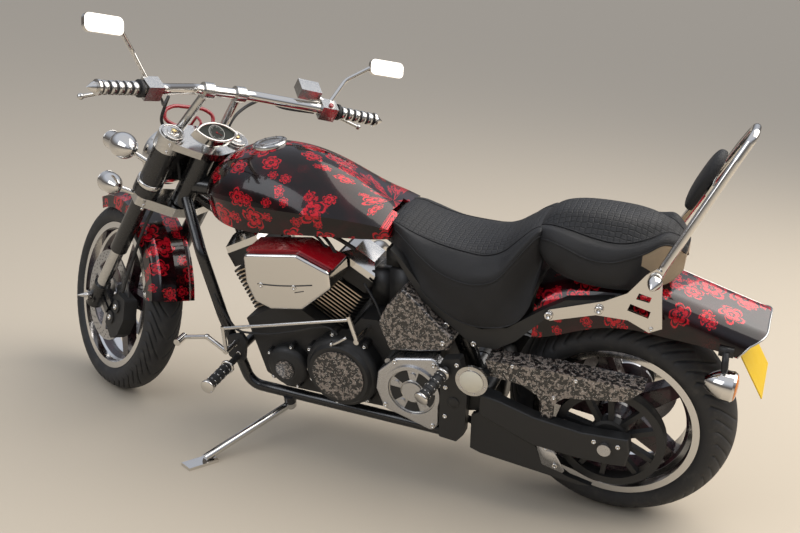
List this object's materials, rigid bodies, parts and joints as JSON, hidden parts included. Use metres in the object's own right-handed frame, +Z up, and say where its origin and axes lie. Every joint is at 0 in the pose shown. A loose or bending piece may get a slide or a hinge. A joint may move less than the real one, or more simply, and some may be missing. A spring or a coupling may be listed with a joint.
{
  "type": "cruiser motorcycle",
  "caption": "Long, low cruiser motorcycle with a V-twin engine, belt drive, backrest and forward footrests, leaning on its side stand.",
  "frame": {"origin": "on the floor, under the middle of the parked machine's bounding box", "axes": "+X the way the machine faces, +Y to the rider's left, +Z up"},
  "size_m": [2.2992, 0.9457, 1.2868],
  "materials": {
    "tyre": "treaded rubber",
    "rim": "dark plum with bright lips",
    "steel": "brushed",
    "black": "satin black",
    "chrome": "polished",
    "aluminium": "polished",
    "paint": "black cherry with candy red flowers",
    "glass": "clear",
    "red": "red",
    "rubber": "matt",
    "fins": "black with bare fin edges",
    "speckle": "taupe, black and white speckle",
    "leather": "black",
    "plate": "blank yellow"
  },
  "bodies": {
    "chassis": {"frame_backbone": "black", "frame_cradle": "black", "seat_rails": "black", "crankcase": "black", "cylinder_front": "fins", "cylinder_rear": "fins", "rocker_covers": "chrome", "engine_covers": "black", "cover_insets": "speckle", "air_cleaner": "chrome", "air_cleaner_strip": "red", "exhaust": "chrome", "drive_belt": "rubber", "pulley_cover": "chrome", "fuel_tank": "paint", "fuel_cap": "chrome", "rider_seat": "leather", "passenger_seat": "leather", "rear_fender": "paint", "backrest_frame": "chrome", "backrest_pad": "leather", "rear_lamps": "chrome", "number_plate": "plate", "plate_bracket": "black", "side_covers": "speckle", "swingarm": "black", "rear_axle": "steel", "belt_guard": "speckle", "lower_guard": "black", "peg_plates": "black", "footrests": "rubber", "foot_controls": "chrome", "disc_holder": "chrome", "rear_caliper": "black"},
    "fork": {"fork_legs": "black", "front_axle": "chrome", "fork_stanchions": "chrome", "yokes": "aluminium", "front_fender": "paint", "front_calipers": "black", "headlight": "chrome", "headlight_lens": "glass", "front_lamps": "chrome", "clock": "chrome", "visor_ring": "red", "handlebar": "chrome", "grips": "rubber", "bar_controls": "aluminium", "mirrors": "chrome"},
    "front_wheel": {"front_tyre": "tyre", "front_rim": "rim", "front_discs": "steel"},
    "rear_wheel": {"rear_tyre": "tyre", "rear_rim": "rim", "rear_disc": "steel", "rear_pulley": "black"},
    "side_stand": {"side_stand": "chrome"}
  },
  "joints": [
    {"name": "steering", "type": "hinge", "parent": "chassis", "child": "fork", "pos_m": [0.56435, -0.05525, 0.74847], "axis": [-0.5003, 0.1652, 0.8499], "range_deg": [0, 72]},
    {"name": "front_wheel_spin", "type": "hinge", "parent": "fork", "child": "front_wheel", "pos_m": [0.86325, -0.16497, 0.3104], "axis": [0.509, 0.8502, 0.1343], "continuous": true},
    {"name": "rear_wheel_spin", "type": "hinge", "parent": "chassis", "child": "rear_wheel", "pos_m": [-0.79497, -0.13992, 0.31233], "axis": [0.0001, 0.9816, -0.1908], "continuous": true},
    {"name": "side_stand_fold", "type": "hinge", "parent": "chassis", "child": "side_stand", "pos_m": [0.19011, -0.06394, 0.11662], "axis": [-0.003, 0.3558, 0.9346], "range_deg": [0, 109.8]}
  ]
}
